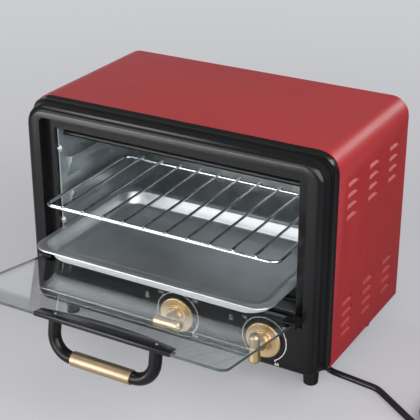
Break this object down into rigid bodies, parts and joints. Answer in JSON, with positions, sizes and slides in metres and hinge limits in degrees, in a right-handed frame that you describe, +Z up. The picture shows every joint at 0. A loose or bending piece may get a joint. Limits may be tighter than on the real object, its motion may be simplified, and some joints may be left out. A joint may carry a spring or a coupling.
{
  "type": "mini oven",
  "caption": "Countertop mini oven with a louvred wrapped cover, drop-down glass door, wire rack, baking tray and control knobs.",
  "frame": {"origin": "on the standing surface, under the middle of the oven's box with its door open and its cord left out", "axes": "+Z up, +X to the oven's right as seen from the front, -Y out of its front"},
  "size_m": [0.5596, 0.4218, 0.27],
  "materials": {
    "red_paint": "satin powder coat",
    "black_plastic": "satin gloss",
    "matte_black": "satin",
    "galvanised": "galvanised sheet",
    "glass": "clear, green at the edges",
    "chrome": "polished",
    "aluminium": "satin pressed sheet",
    "gold": "satin champagne gold",
    "heater_steel": "heat-darkened",
    "ceramic": "unglazed",
    "rubber": "matt",
    "brass": "bright",
    "switch_plastic": "moulded"
  },
  "bodies": {
    "oven": {"outer_cover": "red_paint", "front_bezel": "black_plastic", "base_plate": "galvanised", "rear_panel": "galvanised", "cavity_wall_left": "galvanised", "cavity_wall_right": "galvanised", "cavity_ceiling": "galvanised", "cavity_floor": "galvanised", "heating_rod_lower_front": "heater_steel", "heating_rod_lower_rear": "heater_steel", "heating_rod_upper_front": "heater_steel", "heating_rod_upper_rear": "heater_steel", "rod_holder_lower_left": "ceramic", "rod_holder_lower_right": "ceramic", "rod_holder_upper_left": "ceramic", "rod_holder_upper_right": "ceramic", "hinge_pin_left": "chrome", "hinge_pin_right": "chrome", "thermostat": "switch_plastic", "timer_unit": "switch_plastic", "foot_front_left": "rubber", "foot_front_right": "rubber", "foot_rear_left": "rubber", "foot_rear_right": "rubber", "terminal_block": "switch_plastic", "strain_relief": "rubber", "power_cord": "rubber", "cord_coil": "rubber", "plug": "rubber", "plug_blade_live": "brass", "plug_blade_neutral": "brass", "plug_blade_earth": "brass"},
    "door": {"door_glass": "glass", "hinge_clip_left": "matte_black", "hinge_clip_right": "matte_black", "handle_channel": "black_plastic", "handle_tube": "matte_black", "handle_sleeve": "gold"},
    "rack": {"wire_rack": "chrome"},
    "tray": {"baking_tray": "aluminium"},
    "temperature_dial": {"temperature_knob": "gold", "temperature_shaft": "brass"},
    "timer_dial": {"timer_knob": "gold", "timer_shaft": "brass"}
  },
  "joints": [
    {"name": "door_hinge", "type": "hinge", "parent": "oven", "child": "door", "pos_m": [0, -0.0198, 0.0915], "axis": [-1, 0, 0], "range_deg": [0, 80.7]},
    {"name": "rack_slide", "type": "slide", "parent": "oven", "child": "rack", "axis": [0, 1, 0], "range_m": [0, 0.0405]},
    {"name": "tray_slide", "type": "slide", "parent": "oven", "child": "tray", "axis": [0, 1, 0], "range_m": [0, 0.063]},
    {"name": "temperature_turn", "type": "hinge", "parent": "oven", "child": "temperature_dial", "pos_m": [0.0125, -0.0248, 0.061], "axis": [0, 1, 0], "range_deg": [0, 270]},
    {"name": "timer_turn", "type": "hinge", "parent": "oven", "child": "timer_dial", "pos_m": [0.116, -0.0248, 0.061], "axis": [0, 1, 0], "range_deg": [0, 300]}
  ],
  "couplings": [
    {"joint": "rack_slide", "follows": "door_hinge", "m_per_rad": 0.0284},
    {"joint": "tray_slide", "follows": "door_hinge", "m_per_rad": 0.044374}
  ]
}
